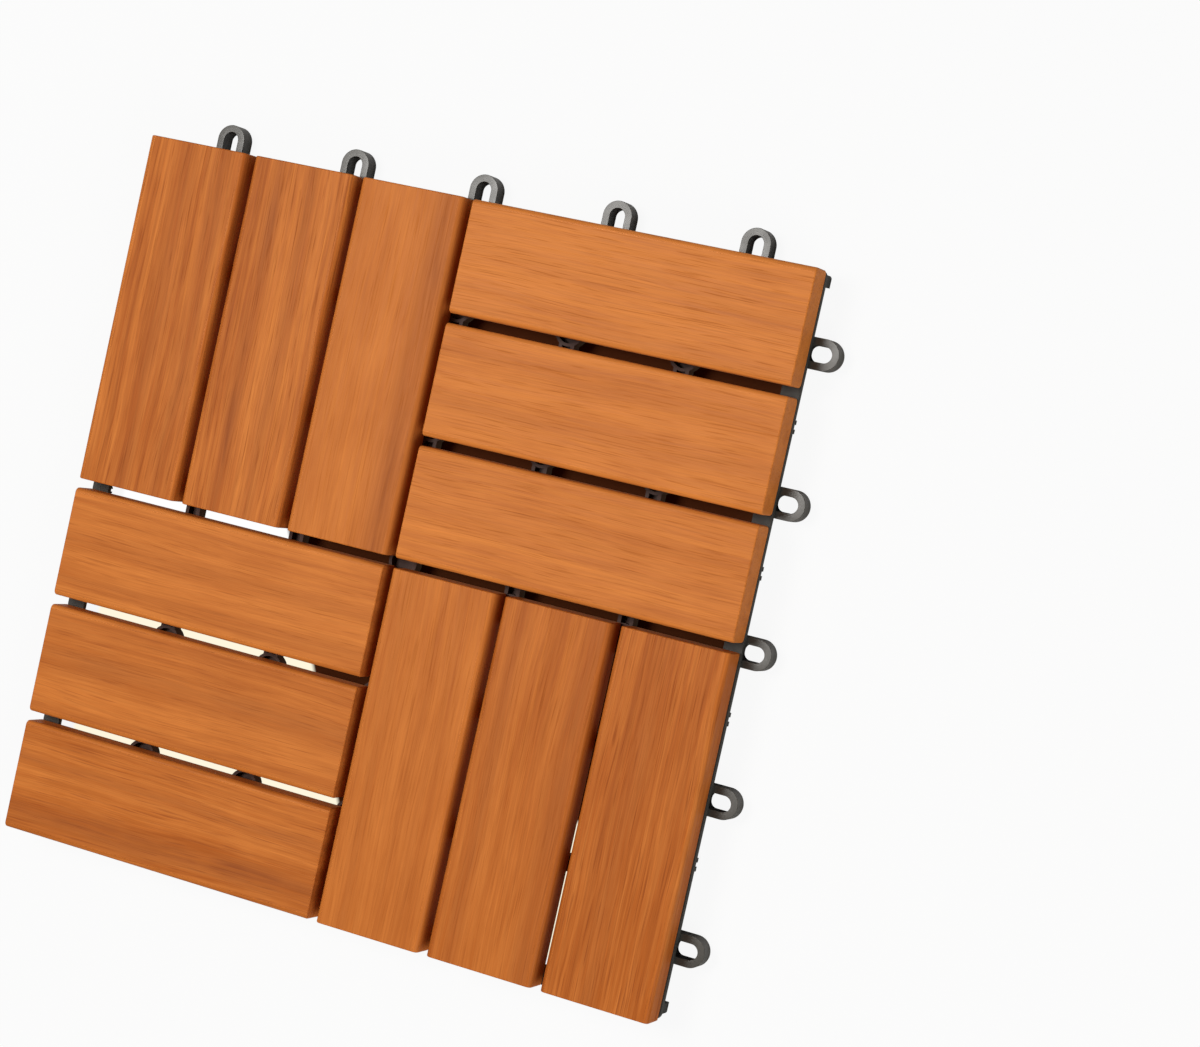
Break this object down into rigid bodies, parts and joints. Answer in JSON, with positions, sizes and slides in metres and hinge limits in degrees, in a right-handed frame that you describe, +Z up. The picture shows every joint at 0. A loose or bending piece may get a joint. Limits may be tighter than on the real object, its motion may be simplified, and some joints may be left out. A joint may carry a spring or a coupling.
{
  "type": "interlocking deck tile",
  "caption": "Square basket-weave deck tile of oiled hardwood slats on a dark moulded grid, with joining loops on two edges and split pegs under the other two.",
  "frame": {"origin": "on the ground under the middle of the walking face, at the middle foot", "axes": "+Z up through the walking face, +X towards one edge with joining loops and +Y towards the other; the pegs are under the -X and -Y edges"},
  "size_m": [0.3084, 0.3084, 0.024],
  "materials": {
    "slat_wood": "oiled hardwood, planed and eased, with plain grain along each slat",
    "grid_plastic": "moulded, matte, dark olive grey",
    "screw_steel": "plain steel"
  },
  "bodies": {
    "root": {"base_grid": "grid_plastic", "slat_back_left_1": "slat_wood", "slat_back_left_2": "slat_wood", "slat_back_left_3": "slat_wood", "slat_back_right_1": "slat_wood", "slat_back_right_2": "slat_wood", "slat_back_right_3": "slat_wood", "slat_front_left_1": "slat_wood", "slat_front_left_2": "slat_wood", "slat_front_left_3": "slat_wood", "slat_front_right_1": "slat_wood", "slat_front_right_2": "slat_wood", "slat_front_right_3": "slat_wood", "slat_screws": "screw_steel"}
  },
  "joints": []
}
